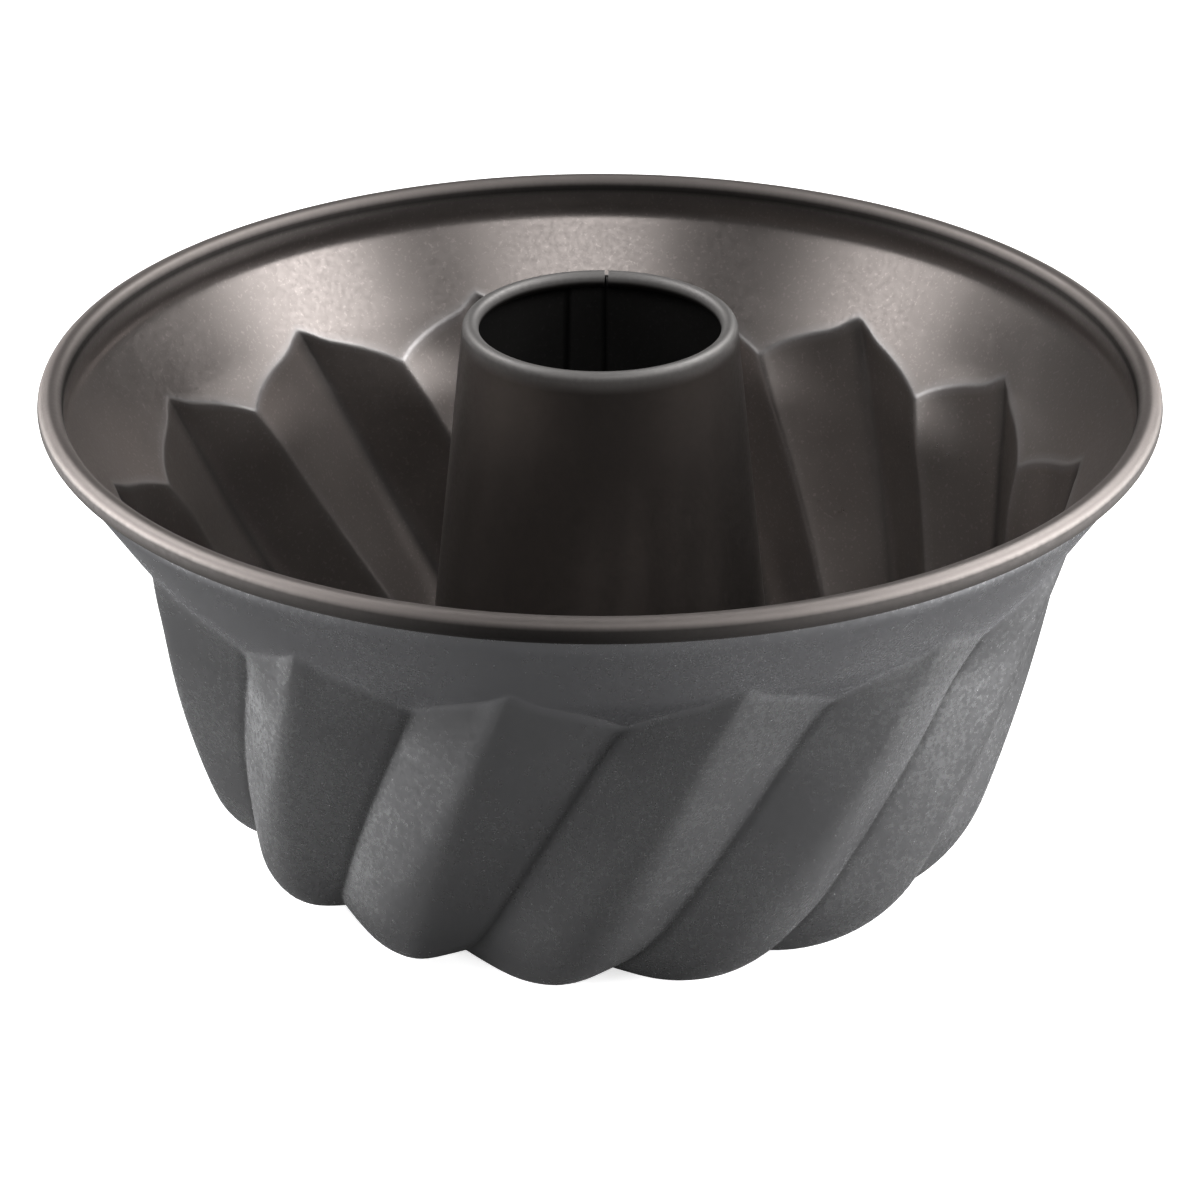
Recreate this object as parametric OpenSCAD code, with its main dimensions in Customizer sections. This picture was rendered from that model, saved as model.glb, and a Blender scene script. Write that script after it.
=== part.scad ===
// Ring cake pan with a twisted, fluted wall: a drawn sheet-steel shell, a rolled centre tube
// hooked round the shell's inner lip, and a wire inside the rolled rim.
// The pan stands mouth up. Z = 0 is the plane its crests stand on and the Z axis is the pan's
// axis. All sizes are in millimetres.

/* [Overall] */
// Outside diameter of the rolled rim
rim_d = 220; // [216:1:228]
// Height of the rim's top above the rest plane
body_h = 103.5; // [98:0.5:110]
// How far the centre tube stands above the rim's top
tube_rise = 11; // [4:0.5:20]
// Thickness of the steel sheet
sheet = 0.6; // [0.5:0.05:0.7]

/* [Rim] */
// Outside diameter of the rolled bead
bead_d = 5; // [4.8:0.1:5.6]
// Diameter of the wire inside the bead
wire_d = 3.2; // [2.6:0.1:3.2]
// How far round the wire the sheet is rolled, in degrees
bead_sweep = 305; // [270:5:305]
// Height of the upright neck, from the rim's top to its lower bend
neck_h = 8.3; // [7:0.1:10]
// Slope of the collar under the neck, in degrees from upright
collar_slope = 33.6; // [32.6:0.2:35]
// Depth of the collar's lower edge under the rim's top, where it steepens towards the valleys
ledge_drop = 23.5; // [22:0.5:25]
// Slope of the sheet between that edge and the valleys, in degrees from upright
ledge_slope = 38.5; // [36:0.5:44]

/* [Flutes] */
// Number of flutes round the pan
flutes = 14; // [12:1:16]
// Depth of a flute as a share of the radius it lies at
flute_ratio = 0.064; // [0.05:0.002:0.068]
// Depth left at the flutes' upper ends, as a share of that
head_share = 0.55; // [0.4:0.05:0.8]
// Slope of the fluted wall, in degrees from upright
wall_slope = 14.7; // [14:0.1:15.4]
// How far the wall bows outwards at half its height
wall_bow = 0.9; // [0:0.1:1.4]
// Outside radius of the trough's round bottom
trough_r = 26.8; // [26:0.2:27.4]
// Distance from the pan's axis to the middle of the trough
trough_mid = 53.7; // [53:0.1:54.4]
// Length of the small flat each crest stands on
stand_flat = 6; // [4:0.5:7]
// Turn of the flutes per millimetre at the top of the wall, in degrees
twist_rate = 0.29; // [0.1:0.01:0.32]
// Direction of the first valley at the top of the wall, in degrees from the X axis
first_valley = 18.5; // [0:0.1:25]
// How far a crest leans off the middle between its valleys at the top of the wall, in degrees
lean_top = -2.9; // [-4:0.1:0]

/* [Centre tube] */
// Outside diameter of the tube at its mouth
tube_top_d = 54; // [52:1:56]
// Slope of the tube's wall, in degrees from upright
tube_slope = 5.9; // [5.5:0.1:6.3]
// Diameter of the roll at the tube's mouth
mouth_roll_d = 3.3; // [3:0.1:3.8]
// Width of the lap seam down the inside of the tube
seam_w = 7.5; // [5:0.5:9]

/* [Hidden] */

// Space left between two folded layers
gap = 0.08;
half = sheet / 2;
// Growth of the flutes' turn per square millimetre, in degrees
twist_growth = 0.00075;
// Change of the crests' lean per millimetre, and the distance over which it changes
lean_rate = 0.072;
lean_length = 70;
// Distance down the wall over which the flutes reach their full depth
head_length = 20;
// Share of half a flute taken up by the flat top of its crest
crest_flat = 0.12;
// Shares of half a flute over which the flank rounds into the crest and the valley
crest_round = 0.35;
valley_round = 0.1;
// Places of the columns round one flute: 0 and 1 are valleys, 0.5 is the crest
places = [0, 0.17, 0.33, 0.5 - crest_flat / 2, 0.5 + crest_flat / 2, 0.67, 0.83];

// Steps along each stretch of the sheet
bead_steps = 10;
wall_steps = 4;
rise_steps = 5;
sink_steps = 3;
turn_steps = 4;
roll_steps = 14;
fold_steps = 8;

// Hem between the tube's foot and the shell's lip
hem_z = 0.8;
lip_turn_r = 1.6;
fold_r = sheet + gap;
fold_z = hem_z + half + fold_r;
lip_end_z = fold_z + gap;
leg_top_z = 4.2;
// Height at which the tube's cone ends and its upright foot begins
foot_top_z = 6.5;

// Centre tube
tube_top_z = body_h + tube_rise;
roll_mid_r = mouth_roll_d / 2 - half;
roll_sweep = 300;
roll_c = [tube_top_d / 2 - mouth_roll_d / 2, tube_top_z - mouth_roll_d / 2];
cone_top = roll_c + roll_mid_r * [cos(tube_slope), sin(tube_slope)];
foot_mid_r = cone_top[0] + (cone_top[1] - foot_top_z) * tan(tube_slope);
// Notch through the roll beside the lap seam
notch_w = 0.8;
seam_edge = 1;

// Rolled rim and neck
bead_c = [rim_d / 2 - bead_d / 2, body_h - bead_d / 2];
bead_mid_r = bead_d / 2 - half;
neck_foot = [bead_c[0] - bead_mid_r, body_h - neck_h];

// Trough: its crests are flat over a small angle each side of the lowest point
stand_a = asin(stand_flat / 2 / trough_r);
trough_c = [trough_mid, trough_r * cos(stand_a)];
arc_r = trough_r - half;
// How far the plain inner ring lies inside the crest line
ring_sunk = 1.3;
lip_r = foot_mid_r + half + gap + half;
lip_turn_arm = arc_r - ring_sunk + lip_turn_r;
ring_a = acos((lip_r + lip_turn_r - trough_mid) / lip_turn_arm);
// Length of the sheet from the flats to the ring, over which the flutes fade into the ring
fade = arc_r * (ring_a - 90 - stand_a) * PI / 180;

// Normal that points out of the pan from a sheet that slopes by a from upright
function out_of(a) = [cos(a), -sin(a)];
// Direction down a sheet that slopes by a from upright
function down(a) = [-sin(a), -cos(a)];
// Normal at a bend between two slopes, long enough to keep the sheet's thickness
function bend(a, b) = out_of((a + b) / 2) / cos((b - a) / 2);
function cross2(u, v) = u[0] * v[1] - u[1] * v[0];
// Where the line through p along u meets the line through q along v
function meet(p, u, q, v) = p + u * cross2(q - p, v) / cross2(u, v);
function smooth(x) = let (c = min(max(x, 0), 1)) c * c * (3 - 2 * c);

// Triangle wave with its two ends rounded off, as a share from 0 to 1
function flank(u) =
    u < valley_round ? valley_round / 2 + u * u / (2 * valley_round)
    : u > 1 - crest_round ? 1 - crest_round / 2 - (1 - u) * (1 - u) / (2 * crest_round)
    : u;
// Height of the flute at a place round it: 0 in the valley, 1 on the flat crest
function crest(place) =
    let (u = min((1 - abs(1 - 2 * place)) / (1 - crest_flat), 1))
    (flank(u) - flank(0)) / (flank(1) - flank(0));

// The crest line from the collar to the trough: a chord that bows outwards. The trough's arc
// takes over where the two run the same way.
bow_a = atan(4 * wall_bow / (body_h - ledge_drop) * cos(wall_slope));
foot_a = wall_slope + bow_a;
wall_foot = trough_c + arc_r * out_of(foot_a);
wall_head = meet(neck_foot, down(collar_slope), wall_foot, down(wall_slope));
wall_len = norm(wall_foot - wall_head);
arc_len = arc_r * (ring_a - foot_a) * PI / 180;

// Point of the crest line and slope of the sheet at a distance s down the wall
function wall_point(s) =
    let (t = s / wall_len)
    wall_head + (wall_foot - wall_head) * t + 4 * wall_bow * t * (1 - t) * out_of(wall_slope);
function slope_at(s) = wall_slope - bow_a * (1 - 2 * s / wall_len);

// How far a column lies inside the crest line; fading brings every column to the plain ring
function sunk(s, r, height, fading) =
    let (share = head_share + (1 - head_share) * smooth(s / head_length))
    (1 - fading) * share * flute_ratio * r * (1 - height) + fading * ring_sunk;
// Point of a column of the fluted wall
function fluted_point(s, height) =
    let (p = wall_point(s))
    p - out_of(slope_at(s)) * sunk(s, p[0], height, 0);

// Turn of the valleys at a distance down the wall, and the further turn of a crest
function turn(s) = -(twist_rate * s + twist_growth * s * s);
function lean(s, place) =
    (lean_top + lean_rate * min(max(s, 0), lean_length)) * (1 - abs(1 - 2 * place));

// Radius of the collar and its lower ledge at a height
ledge_z = body_h - ledge_drop;
ledge_r = neck_foot[0] - (neck_foot[1] - ledge_z) * tan(collar_slope);
function collar_r(z) =
    z > ledge_z ? ledge_r + (z - ledge_z) * tan(collar_slope)
    : ledge_r - (ledge_z - z) * tan(ledge_slope);
// Distance down the wall at which a column comes out of the collar, found by halving
function head_s(height, lo = 0, hi = 30, left = 16) =
    let (mid = (lo + hi) / 2, p = fluted_point(mid, height))
    left == 0 ? mid
    : p[0] < collar_r(p[1]) ? head_s(height, mid, hi, left - 1)
    : head_s(height, lo, mid, left - 1);

// Each stop along the sheet is [point in the middle of the sheet, outward normal, turn]
function bead_stops() = [
    for (i = [0 : bead_steps])
        let (a = 180 - bead_sweep * (1 - i / bead_steps), spoke = [cos(a), sin(a)])
        [bead_c + bead_mid_r * spoke, -spoke, 0]
];

function wall_stops(place) =
    let (height = crest(place),
         start = head_s(height),
         head = fluted_point(start, height),
         below = head[1] < ledge_z,
         above = below ? ledge_slope : collar_slope)
    concat(
        [below ? [[ledge_r, ledge_z], bend(collar_slope, ledge_slope), lean(0, place)]
            : [(neck_foot + head) / 2, out_of(collar_slope), lean(0, place)]],
        [for (i = [0 : wall_steps])
            let (s = start + (wall_len - start) * i / wall_steps)
            [fluted_point(s, height),
             i == 0 ? bend(above, slope_at(s)) : out_of(slope_at(s)),
             turn(s) + lean(s, place)]]
    );

function arc_angles() = concat(
    [for (i = [1 : rise_steps]) foot_a + (90 - stand_a - foot_a) * i / rise_steps],
    [for (i = [0 : sink_steps]) 90 + stand_a + (ring_a - 90 - stand_a) * i / sink_steps]
);

function trough_stops(place) = [
    for (a = arc_angles())
        let (along = arc_r * (a - foot_a) * PI / 180,
             s = wall_len + along,
             p = trough_c + arc_r * out_of(a),
             fading = smooth((along - arc_len + fade) / fade))
        [p - out_of(a) * sunk(s, p[0], crest(place), fading), out_of(a), turn(s) + lean(s, place)]
];

function lip_stops() =
    let (turn_c = trough_c + lip_turn_arm * out_of(ring_a), last = turn(wall_len + arc_len))
    concat(
        [for (i = [1 : turn_steps])
            let (a = ring_a * (1 - i / turn_steps))
            [turn_c - lip_turn_r * out_of(a), out_of(a), last]],
        [[[lip_r, lip_end_z], out_of(0), last]]
    );

function shell_stops(place) = concat(
    bead_stops(),
    [[neck_foot, bend(0, collar_slope), 0]],
    wall_stops(place),
    trough_stops(place),
    lip_stops()
);

// Both faces of a sheet that follows the stops, as one closed outline of [r, z, turn]
function outline(stops) = concat(
    [for (s = stops) concat(s[0] + half * s[1], [s[2]])],
    [for (i = [len(stops) - 1 : -1 : 0]) concat(stops[i][0] - half * stops[i][1], [stops[i][2]])]
);

// The outline of every column, turned into place round the axis
function shell_columns() = [
    for (flute = [0 : flutes - 1]) for (place = places)
        [for (p = outline(shell_stops(place)))
            let (a = first_valley + (flute + place) * 360 / flutes + p[2])
            [p[0] * cos(a), p[0] * sin(a), p[1]]]
];

module fluted_shell() {
    columns = shell_columns();
    count = len(columns);
    ring = len(columns[0]);
    color([0.27, 0.26, 0.25])
        polyhedron(
            points = [for (column = columns) each column],
            faces = [
                for (i = [0 : count - 1]) for (j = [0 : ring - 1])
                    let (next = (i + 1) % count,
                         a = i * ring + j,
                         b = i * ring + (j + 1) % ring,
                         c = next * ring + (j + 1) % ring,
                         d = next * ring + j)
                    each [[a, c, b], [a, d, c]]
            ],
            convexity = 10
        );
}

// The tube's stops: the roll at its mouth, the cone, the upright foot and the fold round the lip
function tube_stops() = concat(
    [for (i = [0 : roll_steps])
        let (a = tube_slope + roll_sweep * (1 - i / roll_steps), spoke = [cos(a), sin(a)])
        [roll_c + roll_mid_r * spoke, spoke, 0]],
    [[[foot_mid_r, foot_top_z], bend(-tube_slope, 0), 0]],
    [for (i = [0 : fold_steps])
        let (a = 180 + 180 * i / fold_steps, spoke = [cos(a), sin(a)])
        [[foot_mid_r + fold_r, fold_z] + fold_r * spoke, -spoke, 0]],
    [[[foot_mid_r + 2 * fold_r, leg_top_z], [-1, 0], 0]]
);

// Second layer of sheet inside the cone, where the two edges of the rolled blank overlap
module seam_layer() {
    top = roll_c[1] - mouth_roll_d;
    inner_top = cone_top[0] + (cone_top[1] - top) * tan(tube_slope) - half;
    inner_foot = foot_mid_r - half;
    bite = half / 2;
    intersection() {
        rotate_extrude()
            polygon([
                [inner_top - sheet, top],
                [inner_top + bite, top],
                [inner_foot + bite, foot_top_z],
                [inner_foot - sheet, foot_top_z]
            ]);
        translate([seam_edge - seam_w, 0, 0])
            cube([seam_w, rim_d, tube_top_z]);
    }
}

module centre_tube() {
    color([0.2, 0.2, 0.21])
        union() {
            difference() {
                rotate_extrude()
                    polygon([for (p = outline(tube_stops())) [p[0], p[1]]]);
                translate([seam_edge, 0, roll_c[1] - mouth_roll_d / 2 - half])
                    cube([notch_w, rim_d, 2 * mouth_roll_d]);
            }
            seam_layer();
        }
}

module rim_wire() {
    color([0.6, 0.6, 0.62])
        rotate_extrude()
            translate(bead_c)
                circle(d = wire_d);
}

fluted_shell();
centre_tube();
rim_wire();
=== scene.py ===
"""Looks for the ring cake pan: a dark non-stick steel shell with twisted flutes, its centre tube
and the wire in its rim. Everything is in metres, in the part's own frame."""

import math

import bpy
import numpy as np
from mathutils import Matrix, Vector


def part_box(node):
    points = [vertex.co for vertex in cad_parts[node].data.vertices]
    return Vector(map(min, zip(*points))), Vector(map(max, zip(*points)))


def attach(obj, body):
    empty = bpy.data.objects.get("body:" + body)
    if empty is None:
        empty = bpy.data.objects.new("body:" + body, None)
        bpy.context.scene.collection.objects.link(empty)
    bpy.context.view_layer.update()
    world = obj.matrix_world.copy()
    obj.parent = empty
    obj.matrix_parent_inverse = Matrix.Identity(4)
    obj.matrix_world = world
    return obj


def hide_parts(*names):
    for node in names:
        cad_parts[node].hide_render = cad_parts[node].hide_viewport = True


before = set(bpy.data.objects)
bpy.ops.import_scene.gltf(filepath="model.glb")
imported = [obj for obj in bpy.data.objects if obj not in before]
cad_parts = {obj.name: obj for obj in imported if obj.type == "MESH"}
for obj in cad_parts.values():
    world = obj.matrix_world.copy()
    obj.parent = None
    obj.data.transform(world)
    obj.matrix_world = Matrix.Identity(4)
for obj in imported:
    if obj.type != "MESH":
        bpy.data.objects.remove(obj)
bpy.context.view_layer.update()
MM = 0.001

# ---------------------------------------------------------------- sizes, in millimetres
# The meshes stay a hair inside the CAD's box
tube_lo, tube_hi = [np.array(corner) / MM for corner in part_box("centre_tube")]
shell_lo, shell_hi = [np.array(corner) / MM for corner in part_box("fluted_shell")]
RIM_R = shell_hi[0] - 0.03
BODY_H = shell_hi[2]
TUBE_TOP = tube_hi[2] - 0.01
HEM_R = tube_hi[0] - 0.02
HEM_Z = tube_lo[2]
FLOOR_GAP = 0.004

# The sheet, and the shell's profile from the bead to the trough; slopes in degrees from upright
SHEET = 0.6
HALF = SHEET / 2
BEAD_R = 2.5
BEAD_SWEEP = 305
NECK_H = 8.3
COLLAR_SLOPE = 33.6
LEDGE_DROP = 23.5
LEDGE_SLOPE = 38.5
LEDGE_LENGTH = 22
WALL_SLOPE = 14.7
WALL_BOW = 0.9
WALL_ABOUT = 65
TROUGH_R = 26.8
TROUGH_MID = 53.7
STAND_FLAT = 6
LIP_TURN_R = 1.6

# How far corners of the profile are rounded over, and the step this is worked out at
STEP = 0.25
COLLAR_SOFT = 0.9
CREST_SOFT = 2.5

# The flutes: depth as a share of the radius, and how it grows down from the head and fades out
# into the plain ring at the trough's inner side
FLUTES = 14
FLUTE_RATIO = 0.064
HEAD_RATIO = 0.55
HEAD_LENGTH = 20.0
RING_SUNK = 1.3
FADE = 12

# The turn of the flutes in degrees, and how far the crests lean off the middle
TWIST_RATE = 0.2916
TWIST_GROWTH = 0.00075
FIRST_VALLEY = 18.47
SKEW_TOP = -2.9
SKEW_RATE = 0.072
SKEW_END = 70

# Rounding of crests (at the head and low down) and valleys, as shares of half a flute
CREST_ROUND = 0.12
CREST_ROUND_LOW = 0.5
ROUNDER_FROM = 0.3
VALLEY_ROUND = 0.04

# The crease between collar and flutes, and the drawn-out tip of each crest on it
CREASE_FILLET = 0.7
PEAK = 0.75
PEAK_FROM = 0.75
PEAK_LENGTH = 16.0

# Rows of the shell's mesh
BEAD_ROWS = 23
NECK_ROWS = 10
NECK_SPARE = 2.5
COLLAR_ROWS = 12
WALL_ROWS = 20
UPPER_END = 30.0
LOWER_STEP = 2.4
TROUGH_ROWS = 28
LIP_TURNS = 8
LIP_ROWS = 4

# Widths of painted and worn bands: the painted highlight across the crease in millimetres, and
# beside the worn crests and the painted shade in the valleys in flute shares
CREASE_BAND = 0.7
EDGE_BAND = 0.12

# The tube, its rolled mouth, the hem at its foot, and the lap seam with its notch
TUBE_SLOPE = 5.9
TUBE_TOP_R = 27
TUBE_STEP = 2.5
ROLL_R = 1.65
ROLL_SWEEP = 300
ROLL_ROWS = 30
FOOT_TOP_Z = 6.5
FOLD_GAP = 0.08
FOLD_ROWS = 13
HEM_LEG_TOP = 4.2
SEAM_W = 7.5
SEAM_EDGE = 1.0
SEAM_DARK = 0.8
NOTCH_W = 0.8


def out_of(a):
    """A step in the (radius, height) plane, a degrees below straight out."""
    a = np.radians(a)
    return np.stack([np.cos(a), -np.sin(a)], -1)


def down(a):
    """A step down a wall that leans in a degrees from upright."""
    a = np.radians(a)
    return np.stack([-np.sin(a), -np.cos(a)], -1)


def cross2(u, v):
    return u[..., 0] * v[..., 1] - u[..., 1] * v[..., 0]


def meet(p, u, q, v):
    """Where the line from p along u crosses the line from q along v."""
    p, u, q, v = map(np.asarray, (p, u, q, v))
    return p + u * (cross2(q - p, v) / cross2(u, v))[..., None]


def smooth(x):
    """0 to 1 with level ends as x goes from 0 to 1."""
    c = np.clip(x, 0, 1)
    return c * c * (3 - 2 * c)


def resample(points, step):
    """Points every `step` along an open polyline."""
    points = np.asarray(points, float)
    s = np.r_[0, np.cumsum(np.linalg.norm(np.diff(points, axis=0), axis=1))]
    t = np.linspace(0, s[-1], max(int(s[-1] / step), 2) + 1)
    return np.stack([np.interp(t, s, points[:, k]) for k in range(points.shape[1])], 1)


def soften(points, step, sigma):
    """The same open polyline with its corners rounded over about `sigma`; the ends stay."""
    dense = resample(points, step)
    n = int(4 * sigma / step) + 1
    x = np.arange(-n, n + 1) * step
    kernel = np.exp(-(x / sigma) ** 2 / 2)
    kernel /= kernel.sum()
    head = dense[0] + (dense[0] - dense[1]) * np.arange(n, 0, -1)[:, None]
    tail = dense[-1] + (dense[-1] - dense[-2]) * np.arange(1, n + 1)[:, None]
    padded = np.vstack([head, dense, tail])
    return np.stack([np.convolve(padded[:, k], kernel, "valid") for k in range(2)], 1)


# ---------------------------------------------------------------- the fluted shell
def flank(u, crest_round):
    """A straight flank from valley to crest with a parabola at each end."""
    low = VALLEY_ROUND / 2 + u * u / (2 * VALLEY_ROUND)
    high = 1 - crest_round / 2 - (1 - u) ** 2 / (2 * crest_round)
    return np.where(u < VALLEY_ROUND, low, np.where(u > 1 - crest_round, high, u))


def flute_height(place, crest_round):
    """0 in a valley and 1 on a crest, at a place from 0 to 1 round one flute."""
    u = 1 - np.abs(1 - 2 * place)
    lo, hi = flank(np.array(0.0), crest_round), flank(np.array(1.0), crest_round)
    return (flank(u, crest_round) - lo) / (hi - lo)


# Columns of one flute, closer together at its valley and its crest
half_flute = np.array([0, .02, .045, .08, .14, .24, .36, .48, .6, .7, .79, .86, .91, .95, .98])
places = np.r_[half_flute, 2 - np.r_[1, half_flute[:0:-1]]] / 2
SHELL_COLUMNS = (np.arange(FLUTES)[:, None] + places[None, :]).ravel() * 360 / FLUTES
SHELL_LEAN = np.tile(1 - np.abs(1 - 2 * places), FLUTES)

bead_c = np.array([RIM_R - BEAD_R, BODY_H - BEAD_R])
bead_mid = BEAD_R - HALF
neck_foot = np.array([bead_c[0] - bead_mid, BODY_H - NECK_H])
arc_r = TROUGH_R - HALF
stand_a = math.degrees(math.asin(STAND_FLAT / 2 / TROUGH_R))
trough_c = np.array([TROUGH_MID, TROUGH_R * math.cos(math.radians(stand_a))])
foot_mid_r = HEM_R - HALF - 2 * (SHEET + FOLD_GAP)
lip_r = foot_mid_r + SHEET + FOLD_GAP
lip_arm = arc_r - RING_SUNK + LIP_TURN_R
ring_a = math.degrees(math.acos((lip_r + LIP_TURN_R - TROUGH_MID) / lip_arm))
foot_a = WALL_SLOPE + math.degrees(math.atan(4 * WALL_BOW / WALL_ABOUT))
wall_foot = trough_c + arc_r * out_of(foot_a)
wall_head = meet(neck_foot, down(COLLAR_SLOPE), wall_foot, down(WALL_SLOPE))
wall_len = float(np.linalg.norm(wall_foot - wall_head))

# The round neck, collar and ledge, as they would run with no flutes
ledge_top = meet(neck_foot, down(COLLAR_SLOPE), [0, BODY_H - LEDGE_DROP], [1.0, 0.0])
collar = soften(
    [bead_c - [bead_mid, 0], neck_foot, ledge_top,
     ledge_top + LEDGE_LENGTH * down(LEDGE_SLOPE)], STEP, COLLAR_SOFT)
collar_t = np.r_[0, np.cumsum(np.linalg.norm(np.diff(collar, axis=0), axis=1))]

# The crest line: straight above its head, bowed down the wall, then round the trough
wall_t = np.linspace(0, 1, 60)
arc_a = np.linspace(foot_a, ring_a, 120)
crest_line = np.vstack([
    wall_head - down(WALL_SLOPE) * np.linspace(30, 0.5, 60)[:, None],
    wall_head + (wall_foot - wall_head) * wall_t[:, None]
    + 4 * WALL_BOW * (wall_t * (1 - wall_t))[:, None] * out_of(WALL_SLOPE),
    trough_c + arc_r * out_of(arc_a[1:])])
crest_line = soften(crest_line, STEP, CREST_SOFT)
crest_s = np.r_[0, np.cumsum(np.linalg.norm(np.diff(crest_line, axis=0), axis=1))]
crest_s -= crest_s[np.argmin(np.linalg.norm(crest_line - wall_head, axis=1))]
crest_tangent = np.gradient(crest_line, crest_s, axis=0)
crest_tangent /= np.linalg.norm(crest_tangent, axis=1)[:, None]
total_len = float(crest_s[-1])


def on_crest(s):
    """Points and outward normals of the crest line at distances from the wall's head."""
    p = np.stack([np.interp(s, crest_s, crest_line[:, k]) for k in range(2)], -1)
    t = np.stack([np.interp(s, crest_s, crest_tangent[:, k]) for k in range(2)], -1)
    t /= np.linalg.norm(t, axis=-1)[..., None]
    return p, np.stack([-t[..., 1], t[..., 0]], -1)


def on_collar(t):
    """Points of the collar's profile at distances from the bead."""
    return np.stack([np.interp(t, collar_t, collar[:, k]) for k in range(2)], -1)


def turn(s):
    """How far the flutes have turned at a distance from the wall's head, in degrees."""
    return -(TWIST_RATE * s + TWIST_GROWTH * s * s)


def skew(s):
    """How far a crest stands off the middle between its valleys, in degrees."""
    return SKEW_TOP + SKEW_RATE * np.clip(s, 0, SKEW_END)


def fluted(s, place):
    """Points of the fluted wall at distances from its head and places round one flute."""
    p, n = on_crest(s)
    fading = smooth((s - total_len + FADE) / FADE)
    lower = smooth(s / wall_len - ROUNDER_FROM)
    crest_round = CREST_ROUND + (CREST_ROUND_LOW - CREST_ROUND) * lower
    share = HEAD_RATIO + (1 - HEAD_RATIO) * smooth(s / HEAD_LENGTH)
    sunk = share * FLUTE_RATIO * p[..., 0] * (1 - flute_height(place, crest_round))
    off = (1 - fading) * sunk + fading * RING_SUNK
    near_crest = np.clip((1 - np.abs(1 - 2 * place) - PEAK_FROM) / (1 - PEAK_FROM), 0, 1)
    off = off - PEAK * (1 - smooth(s / PEAK_LENGTH)) * near_crest
    return p - n * off[..., None]


def head_distances(place):
    """Where each column of the wall comes out of the collar, found by halving."""
    lo, hi = np.full(place.shape, -14.0), np.full(place.shape, 26.0)
    for _ in range(30):
        mid = (lo + hi) / 2
        q = fluted(mid, place)
        hidden = q[:, 0] < np.interp(q[:, 1], collar[::-1, 1], collar[::-1, 0])
        lo, hi = np.where(hidden, mid, lo), np.where(hidden, hi, mid)
    return (lo + hi) / 2


def shell_grid():
    """Middle of the sheet as rows of points, with values for the coat. One flute is worked out
    and repeated; a row runs along the crease between the collar and the flutes."""
    head = head_distances(places)
    corner = fluted(head, places)
    corner_t = np.interp(-corner[:, 1], -collar[:, 1], collar_t)
    neck_t = np.interp(NECK_H + NECK_SPARE - BODY_H, -collar[:, 1], collar_t)
    fold = CREASE_FILLET
    before_crease, past_lip = -99, 99
    rows = []

    def add(points, s, past_crease, bead=0.0):
        rows.append((np.broadcast_to(points, (len(places), 2)), s + 0 * head,
                     past_crease + 0 * head, bead + 0 * head))

    for a in np.linspace(180 - BEAD_SWEEP, 180, BEAD_ROWS):
        spoke = np.array([math.cos(math.radians(a)), math.sin(math.radians(a))])
        add(bead_c + bead_mid * spoke, head, before_crease, 1)
    for t in np.linspace(0, neck_t, NECK_ROWS)[1:]:
        add(on_collar(t), head, before_crease, 0.8 * max(0, 1 - t / 4))
    for f in np.linspace(0, 1, COLLAR_ROWS)[1:]:
        t = neck_t + (corner_t - fold - neck_t) * f
        add(on_collar(t), head, t - corner_t)
    before, after = on_collar(corner_t - fold), fluted(head + fold, places)
    for f in (0.25, 0.5, 0.75):
        bent = (1 - f) ** 2 * before + 2 * f * (1 - f) * corner + f ** 2 * after
        add(bent, head + fold * f ** 2, fold * (2 * f - 1))
    for f in np.linspace(0, 1, WALL_ROWS):
        s = head + fold + (UPPER_END - head - fold) * f
        add(fluted(s, places), s, s - head)
    lower = np.r_[np.arange(UPPER_END + LOWER_STEP, wall_len, LOWER_STEP),
                  np.linspace(wall_len, total_len, TROUGH_ROWS)]
    for s in lower:
        s = s + 0 * head
        add(fluted(s, places), s, s - head)
    turn_c = trough_c + lip_arm * out_of(ring_a)
    for a in ring_a * (1 - np.arange(1, LIP_TURNS + 1) / LIP_TURNS):
        add(turn_c - LIP_TURN_R * out_of(a), total_len, past_lip)
    fold_z = HEM_Z + HALF + SHEET + FOLD_GAP
    for z in np.linspace(turn_c[1], fold_z + FOLD_GAP, LIP_ROWS)[1:]:
        add(np.array([lip_r, z]), total_len, past_lip)

    rz, s, past, bead = [np.tile(np.array(part), (1, FLUTES) + (1,) * (np.ndim(part[0]) - 1))
                         for part in zip(*rows)]
    a = np.radians(SHELL_COLUMNS + FIRST_VALLEY + turn(s) + skew(s) * SHELL_LEAN)
    points = np.stack([rz[..., 0] * np.cos(a), rz[..., 0] * np.sin(a), rz[..., 1]], -1)
    # The band across the crease, which the coat paints lighter as a painted highlight
    crease = np.exp(-(past / CREASE_BAND) ** 2)
    flute = np.clip(past / 2, 0, 1) * (1 - smooth((s - total_len + FADE) / FADE))
    return points, crease, flute, bead


def grid_normals(points):
    """Outward normals of a grid that closes round its second axis."""
    around = np.roll(points, -1, 1) - np.roll(points, 1, 1)
    along = np.gradient(points, axis=0)
    n = np.cross(along, around)
    return n / np.linalg.norm(n, axis=2)[..., None]


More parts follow.
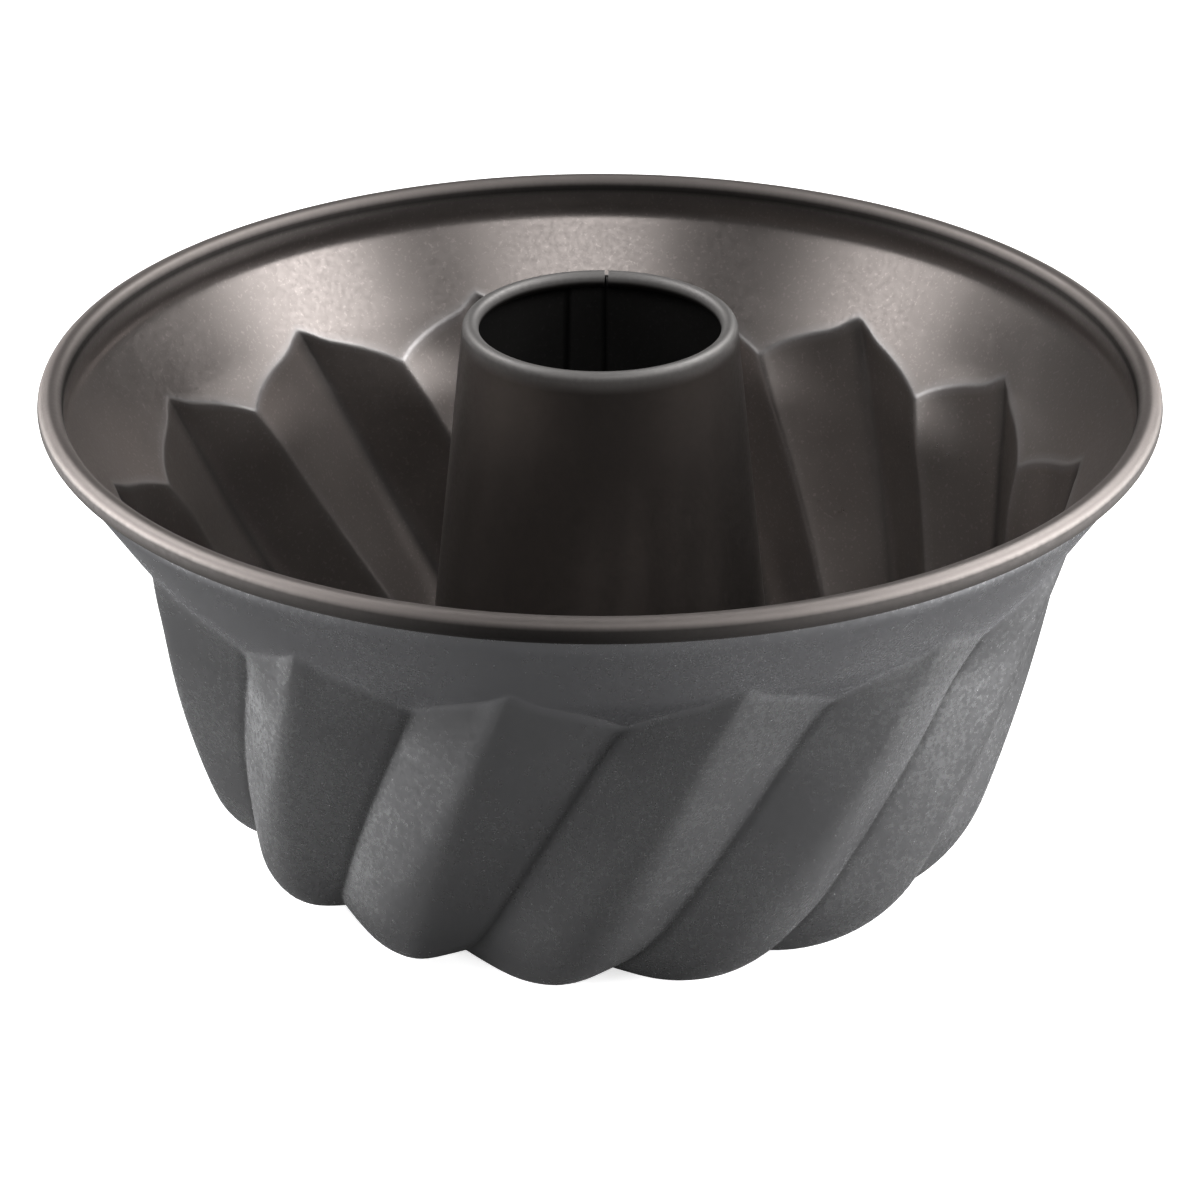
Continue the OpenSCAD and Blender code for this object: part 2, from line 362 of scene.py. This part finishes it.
def sheet_mesh(name, outer, inner, attributes):
    """A closed mesh between two grids, joined at their first and last rows.
    Attributes hold one value per grid point for the outer face and one for the inner."""
    rows, cols = outer.shape[:2]
    verts = np.vstack([outer.reshape(-1, 3), inner.reshape(-1, 3)]) * MM
    i, j = np.meshgrid(np.arange(rows - 1), np.arange(cols), indexing="ij")
    k = (j + 1) % cols
    front = np.stack([i * cols + j, (i + 1) * cols + j, (i + 1) * cols + k, i * cols + k], -1)
    back = front[..., ::-1] + rows * cols
    j = np.arange(cols)
    k = (j + 1) % cols
    top = np.stack([j, k, rows * cols + k, rows * cols + j], -1)
    last = (rows - 1) * cols
    low = np.stack([last + k, last + j, rows * cols + last + j, rows * cols + last + k], -1)
    faces = np.vstack([front.reshape(-1, 4), back.reshape(-1, 4), top, low])
    mesh = bpy.data.meshes.new(name)
    mesh.from_pydata(verts.tolist(), [], faces.tolist())
    mesh.polygons.foreach_set("use_smooth", np.ones(len(faces), bool))
    for key, (a, b) in attributes.items():
        layer = mesh.attributes.new(key, "FLOAT", "POINT")
        layer.data.foreach_set("value", np.concatenate([a.ravel(), b.ravel()]).astype(np.float32))
    mesh.update()
    obj = bpy.data.objects.new(name, mesh)
    bpy.context.scene.collection.objects.link(obj)
    return obj


def build_shell():
    points, crease, flute, bead = shell_grid()
    n = grid_normals(points)
    outer = points + HALF * n
    inner = points - HALF * n
    outer[..., 2] = np.maximum(outer[..., 2], FLOOR_GAP)
    ones = np.ones(points.shape[:2])
    off_crest = np.abs(1 - 2 * places)
    # Masks beside crests and valleys: the coat lightens the crests as wear and darkens the valleys
    # as painted shade; on the inner face they swap, since its valleys lie behind the outer crests
    crest = np.tile(np.clip(1 - off_crest / EDGE_BAND, 0, 1), FLUTES) * flute
    valley = np.tile(np.clip(1 - (1 - off_crest) / EDGE_BAND, 0, 1), FLUTES) * flute
    return sheet_mesh("pan_shell", outer, inner, {
        "outside": (ones, 0 * ones),
        "crease": (crease, crease),
        "crest": (crest, valley),
        "valley": (valley, crest),
        "fluted": (flute, flute),
        "bead": (bead, bead)})


shell = build_shell()
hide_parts("fluted_shell")
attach(shell, "root")


# ---------------------------------------------------------------- the centre tube
def tube_profile():
    """Middle of the sheet from the roll's end over the mouth, down the cone and round the hem,
    with the number of the roll's rows and the point where roll and cone meet."""
    roll_mid = ROLL_R - HALF
    roll_c = np.array([TUBE_TOP_R - ROLL_R, TUBE_TOP - ROLL_R])
    a = np.radians(np.linspace(TUBE_SLOPE + ROLL_SWEEP, TUBE_SLOPE, ROLL_ROWS))
    roll = roll_c + roll_mid * np.stack([np.cos(a), np.sin(a)], 1)
    cone = resample([roll[-1], [foot_mid_r, FOOT_TOP_Z]], TUBE_STEP)[1:]
    fold = SHEET + FOLD_GAP
    fold_c = np.array([foot_mid_r + fold, HEM_Z + HALF + fold + 0.01])
    a = np.radians(np.linspace(180, 360, FOLD_ROWS))
    bend = fold_c + fold * np.stack([np.cos(a), np.sin(a)], 1)
    leg = np.array([[foot_mid_r + 2 * fold, z]
                    for z in np.linspace(fold_c[1], HEM_LEG_TOP, 4)[1:]])
    return np.vstack([roll, cone, bend, leg]), len(roll), roll[-1]


def build_tube():
    profile, roll_rows, joint = tube_profile()
    # Angles from +Y, clockwise seen from above, closer together at the seam and the notch
    edge = math.degrees(SEAM_EDGE / TUBE_TOP_R)
    notch = math.degrees(NOTCH_W / TUBE_TOP_R)
    width = math.degrees(SEAM_W / TUBE_TOP_R)
    fine = [edge - 0.25, edge, edge + 0.15, edge + notch / 2, edge + notch - 0.15, edge + notch,
            edge + notch + 0.25, edge - width - 0.35, edge - width, edge - width + 0.35]
    coarse = [a for a in np.arange(-180, 180, 2.0) if min(abs(a - f) for f in fine) > 0.6]
    angles = np.array(sorted(fine + coarse))
    cols = len(angles)
    a = np.radians(90 - angles)[::-1]
    angles = angles[::-1]
    points = np.zeros((len(profile), cols, 3))
    points[..., 0] = profile[:, None, 0] * np.cos(a)
    points[..., 1] = profile[:, None, 0] * np.sin(a)
    points[..., 2] = profile[:, None, 1]
    n = grid_normals(points)
    in_notch = (angles > edge + 0.1) & (angles < edge + notch - 0.1)
    outer = points + HALF * n
    inner = points - HALF * n
    # The second layer of the lap lies on the inside, between the roll and the foot
    in_seam = (angles < edge + 0.1) & (angles > edge - width - 0.1)
    z = profile[:, 1]
    lap = (z < TUBE_TOP - 2 * ROLL_R - 0.3) & (z > FOOT_TOP_Z)
    lap[:roll_rows] = False
    lap[roll_rows + len(resample([joint, [foot_mid_r, FOOT_TOP_Z]], TUBE_STEP)):] = False
    add = SHEET * lap[:, None] * in_seam[None, :]
    inner = inner - add[..., None] * n
    # In the notch the roll shrinks back to the top of the cone
    pivot_r = joint[0]
    for j in np.nonzero(in_notch)[0]:
        pivot = np.array([pivot_r * math.cos(a[j]), pivot_r * math.sin(a[j]), joint[1]])
        shrink = np.r_[np.full(roll_rows - 1, 0.12), 1.0]
        for grid in (outer, inner):
            grid[:roll_rows, j] = pivot + (grid[:roll_rows, j] - pivot) * shrink[:, None]
    ones = np.ones(points.shape[:2])
    roll = np.zeros(points.shape[:2])
    # The top band of the roll, which the coat paints lighter as a painted highlight
    roll[:roll_rows] = smooth((z[:roll_rows] - TUBE_TOP + ROLL_R + 0.6) / 1.2)[:, None]
    seam = (np.exp(-((angles - edge) / SEAM_DARK) ** 2)
            + np.exp(-((angles - edge + width) / SEAM_DARK) ** 2))
    seam = np.tile(seam[None, :], (len(profile), 1))
    return sheet_mesh("pan_tube", outer, inner, {
        "outside": (ones, 0 * ones),
        "bead": (roll, roll),
        "seam": (0 * seam, seam)})


tube = build_tube()
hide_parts("centre_tube")
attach(tube, "root")


# ---------------------------------------------------------------- materials
class Graph:
    """Short calls for building a node material."""

    def __init__(self, name):
        self.mat = bpy.data.materials.new(name)
        self.mat.use_nodes = True
        self.tree = self.mat.node_tree
        self.tree.nodes.clear()
        self.out = self.add("ShaderNodeOutputMaterial")
        self.bsdf = self.add("ShaderNodeBsdfPrincipled")
        self.tree.links.new(self.bsdf.outputs[0], self.out.inputs[0])
        place = self.add("ShaderNodeTexCoord")
        self.coords = place.outputs["Object"]
        split = self.add("ShaderNodeSeparateXYZ")
        self.put(split.inputs[0], place.outputs["Normal"])
        self.up = split.outputs[2]

    def add(self, kind, **values):
        node = self.tree.nodes.new(kind)
        for key, value in values.items():
            setattr(node, key, value)
        return node

    def put(self, socket, value):
        if isinstance(value, bpy.types.NodeSocket):
            self.tree.links.new(value, socket)
        else:
            socket.default_value = value

    def attribute(self, name):
        return self.add("ShaderNodeAttribute", attribute_name=name).outputs["Fac"]

    def noise(self, scale, detail=3.0, rough=0.5):
        node = self.add("ShaderNodeTexNoise")
        self.put(node.inputs["Vector"], self.coords)
        node.inputs["Scale"].default_value = scale
        node.inputs["Detail"].default_value = detail
        node.inputs["Roughness"].default_value = rough
        return node.outputs["Fac"]

    def math(self, op, a, b=0.0, clamp=False):
        node = self.add("ShaderNodeMath", operation=op, use_clamp=clamp)
        self.put(node.inputs[0], a)
        self.put(node.inputs[1], b)
        return node.outputs[0]

    def span(self, value, lo, hi, to_lo, to_hi):
        node = self.add("ShaderNodeMapRange", clamp=True)
        for socket, v in zip(node.inputs, (value, lo, hi, to_lo, to_hi)):
            self.put(socket, v)
        return node.outputs[0]

    def mix(self, fac, a, b, blend="MIX"):
        node = self.add("ShaderNodeMix", data_type="RGBA", blend_type=blend)
        self.put(node.inputs[0], fac)
        for socket, v in ((node.inputs[6], a), (node.inputs[7], b)):
            self.put(socket, v if isinstance(v, bpy.types.NodeSocket) else (*v, 1.0))
        return node.outputs[2]

    def grey(self, value):
        node = self.add("ShaderNodeCombineColor")
        for socket in node.inputs:
            self.put(socket, value)
        return node.outputs[0]

    def bump(self, height, distance, strength=1.0, below=None):
        node = self.add("ShaderNodeBump")
        node.inputs["Strength"].default_value = strength
        node.inputs["Distance"].default_value = distance
        self.put(node.inputs["Height"], height)
        if below is not None:
            self.put(node.inputs["Normal"], below)
        return node.outputs[0]


ROUGH_LO = 0.3
ROUGH_HI = 0.38
METAL_IN = 0.85
METAL_OUT = 0.97


def coat_material(name, outside, inside, polish, extra):
    """Dark satin coat on steel: cooler outside, warmer and speckled inside."""
    g = Graph(name)
    out = g.attribute("outside")
    grain = g.noise(900, 2.0, 0.6)
    cloud = g.noise(28, 4.0, 0.55)
    speck = g.span(g.noise(1500, 1.0, 0.5), 0.60, 0.74, 0.0, 1.0)
    warm = g.mix(g.span(cloud, 0.3, 0.7, 0, 1), inside, tuple(c * 1.18 for c in inside))
    warm = g.mix(g.math("MULTIPLY", speck, 0.35), warm, tuple(c * 1.9 for c in inside))
    cool = g.mix(g.span(cloud, 0.3, 0.7, 0, 1), outside, tuple(c * 1.12 for c in outside))
    cool = g.mix(g.math("MULTIPLY", speck, 0.04), cool, tuple(c * 1.5 for c in outside))
    colour = g.mix(out, warm, cool)
    colour = extra(g, colour, inside)
    g.put(g.bsdf.inputs["Base Color"], colour)
    rough = g.span(grain, 0.3, 0.7, ROUGH_LO, ROUGH_HI)
    rough = g.math("SUBTRACT", rough, g.math("MULTIPLY", out, polish))
    dull = g.span(g.up, 0.3, 0.85, 0.45, 0.14)
    rough = g.math("ADD", rough, g.math("MULTIPLY", g.attribute("bead"), dull))
    rough = g.math("ADD", rough, g.span(cloud, 0.3, 0.7, -0.03, 0.03))
    g.put(g.bsdf.inputs["Roughness"], rough)
    g.put(g.bsdf.inputs["Metallic"], g.span(out, 0.0, 1.0, METAL_IN, METAL_OUT))
    waves = g.bump(g.noise(60, 2.0, 0.5), 0.0001, 0.35)
    g.put(g.bsdf.inputs["Normal"], g.bump(grain, 0.000006, 0.5, waves))
    return g.mat


def shell_extra(g, colour, inside):
    bead = g.attribute("bead")
    crease = g.attribute("crease")
    # Painted shade on the bead: it takes the warm inner colour, painted down to 0.15 of it where
    # the surface faces sideways and kept full where it faces up
    bead_painted_shade = g.mix(1.0, inside, g.grey(g.span(g.up, 0.3, 0.85, 0.15, 1.0)), "MULTIPLY")
    colour = g.mix(bead, colour, bead_painted_shade)
    # Painted light: the plain collar on the outside, off the flutes, is painted 1.28 times lighter
    plain = g.math("SUBTRACT", 1, g.attribute("fluted"))
    collar = g.math("MULTIPLY", g.attribute("outside"), plain)
    colour = g.mix(collar, colour, g.mix(1.0, colour, (1.28, 1.28, 1.3), "MULTIPLY"))
    # Painted shade in the valleys: they are mixed most of the way to near black
    colour = g.mix(g.math("MULTIPLY", g.attribute("valley"), 0.6), colour, (0.08, 0.08, 0.08))
    colour = g.mix(g.math("MULTIPLY", g.attribute("crest"), 0.15), colour, (0.45, 0.45, 0.45))
    # Painted highlight: a band along the crease between the collar and the flutes is mixed towards
    # light grey
    return g.mix(g.math("MULTIPLY", crease, 0.4), colour, (0.5, 0.5, 0.51))


def tube_extra(g, colour, inside):
    roll = g.attribute("bead")
    seam = g.attribute("seam")
    # Painted highlight on the top of the roll: it is mixed to three times the inner colour
    colour = g.mix(roll, colour, tuple(c * 3.0 for c in inside))
    return g.mix(g.math("MULTIPLY", seam, 0.8), colour, (0.01, 0.01, 0.01))


def wire_material():
    g = Graph("bare_wire")
    drawn = g.noise(400, 3.0, 0.6)
    g.put(g.bsdf.inputs["Base Color"],
          g.mix(g.span(drawn, 0.3, 0.7, 0, 1), (0.42, 0.42, 0.44), (0.6, 0.6, 0.62)))
    g.put(g.bsdf.inputs["Metallic"], 1.0)
    g.put(g.bsdf.inputs["Roughness"], g.span(drawn, 0.3, 0.7, 0.28, 0.45))
    g.put(g.bsdf.inputs["Normal"], g.bump(drawn, 0.00005, 0.5))
    return g.mat


shell.data.materials.append(
    coat_material("nonstick_coat", (0.325, 0.325, 0.332), (0.21, 0.188, 0.178), 0.09, shell_extra))
tube.data.materials.append(
    coat_material("tube_coat", (0.102, 0.093, 0.088), (0.085, 0.082, 0.08), -0.08, tube_extra))
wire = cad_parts["rim_wire"]
wire.data.materials.clear()
wire.data.materials.append(wire_material())


# ---------------------------------------------------------------- stage, lights and camera
FLOOR_BOUNCE = 0.07
FLOOR_GLOW = 0.8


def build_floor():
    """A pale paper floor. The camera sees it near white with a soft shadow; it throws less light
    back at the pan than it seems to."""
    g = Graph("floor_paper")
    tone = g.span(g.noise(3, 2.0, 0.5), 0.3, 0.7, 0.0, 1.0)
    seen = g.mix(tone, (0.86, 0.86, 0.86), (0.9, 0.9, 0.9))
    path = g.add("ShaderNodeLightPath").outputs["Is Camera Ray"]
    g.put(g.bsdf.inputs["Base Color"], g.mix(path, (FLOOR_BOUNCE,) * 3, seen))
    g.put(g.bsdf.inputs["Roughness"], 0.9)
    g.put(g.bsdf.inputs["Emission Color"], seen)
    g.put(g.bsdf.inputs["Emission Strength"], g.math("MULTIPLY", path, FLOOR_GLOW))
    mesh = bpy.data.meshes.new("floor")
    r = 3.0
    mesh.from_pydata([(-r, -r, 0), (r, -r, 0), (r, r, 0), (-r, r, 0)], [], [(0, 1, 2, 3)])
    mesh.materials.append(g.mat)
    floor = bpy.data.objects.new("floor", mesh)
    bpy.context.scene.collection.objects.link(floor)


def area_light(name, place, size, power, colour=(1, 1, 1)):
    data = bpy.data.lights.new(name, "AREA")
    data.shape = "RECTANGLE"
    data.size, data.size_y = size
    data.energy = power
    data.color = colour
    lamp = bpy.data.objects.new(name, data)
    lamp.location = place
    aim = Vector((0, 0, 0.05)) - Vector(place)
    lamp.rotation_euler = aim.to_track_quat("-Z", "Y").to_euler()
    bpy.context.scene.collection.objects.link(lamp)
    return lamp


def shade_from(lamps, piece):
    """Keep these lamps' light off one piece, as a black card beside the set would."""
    kept_dark = bpy.data.collections.new("kept_dark")
    kept_dark.objects.link(piece)
    kept_dark.collection_objects[0].light_linking.link_state = "EXCLUDE"
    for lamp in lamps:
        lamp.light_linking.receiver_collection = kept_dark


def build_world():
    world = bpy.data.worlds.new("studio")
    world.use_nodes = True
    tree = world.node_tree
    tree.nodes.clear()
    out = tree.nodes.new("ShaderNodeOutputWorld")
    mix = tree.nodes.new("ShaderNodeMixShader")
    path = tree.nodes.new("ShaderNodeLightPath")
    seen = tree.nodes.new("ShaderNodeBackground")
    lit = tree.nodes.new("ShaderNodeBackground")
    seen.inputs[0].default_value = (0.9, 0.9, 0.9, 1)
    lit.inputs[0].default_value = (0.5, 0.5, 0.5, 1)
    lit.inputs[1].default_value = 0.06
    tree.links.new(path.outputs["Is Camera Ray"], mix.inputs[0])
    tree.links.new(lit.outputs[0], mix.inputs[1])
    tree.links.new(seen.outputs[0], mix.inputs[2])
    tree.links.new(mix.outputs[0], out.inputs[0])
    bpy.context.scene.world = world


build_floor()
build_world()
# name, azimuth clockwise from the camera's side, elevation, width, height, power
STUDIO = [
    ("back_right_high", 130, 47, 0.7, 0.6, 8.5),
    ("back_left_high", 230, 47, 0.7, 0.6, 6.5),
    ("front_right_high", 80, 36, 0.6, 0.5, 6.0),
    ("front_left_high", 280, 38, 0.6, 0.5, 3.5),
    ("front_high", 8, 45, 0.7, 0.5, 4.5),
    ("right_strip", 86, 2.0, 0.7, 0.14, 98.0),
    ("far_right_strip", 108, 2.0, 0.4, 0.14, 5.0),
    ("left_strip", 264, 2.0, 0.5, 0.14, 76.0),
]
LIGHT_FAR = 1.3
strips = []
for name, azimuth, elevation, width, height, power in STUDIO:
    flat = LIGHT_FAR * math.cos(math.radians(elevation))
    place = (flat * math.sin(math.radians(azimuth)), -flat * math.cos(math.radians(azimuth)),
             LIGHT_FAR * math.sin(math.radians(elevation)) + 0.03)
    lamp = area_light(name, place, (width, height), power)
    if name.endswith("_strip"):
        strips.append(lamp)
shade_from(strips, tube)

CAMERA_TILT = math.radians(26.44)
CAMERA_FAR = 0.9051
SIGHT_SHARE = 0.2667
aim = Vector((0, 0, 0.0535))
data = bpy.data.cameras.new("camera")
data.sensor_fit = "HORIZONTAL"
data.sensor_width = 36
data.lens = 36 / SIGHT_SHARE
data.clip_start = 0.01
camera = bpy.data.objects.new("camera", data)
camera.location = aim + CAMERA_FAR * Vector((0, -math.cos(CAMERA_TILT), math.sin(CAMERA_TILT)))
camera.rotation_euler = (aim - camera.location).to_track_quat("-Z", "Y").to_euler()
bpy.context.scene.collection.objects.link(camera)
bpy.context.scene.camera = camera
bpy.context.scene.view_settings.view_transform = "Standard"
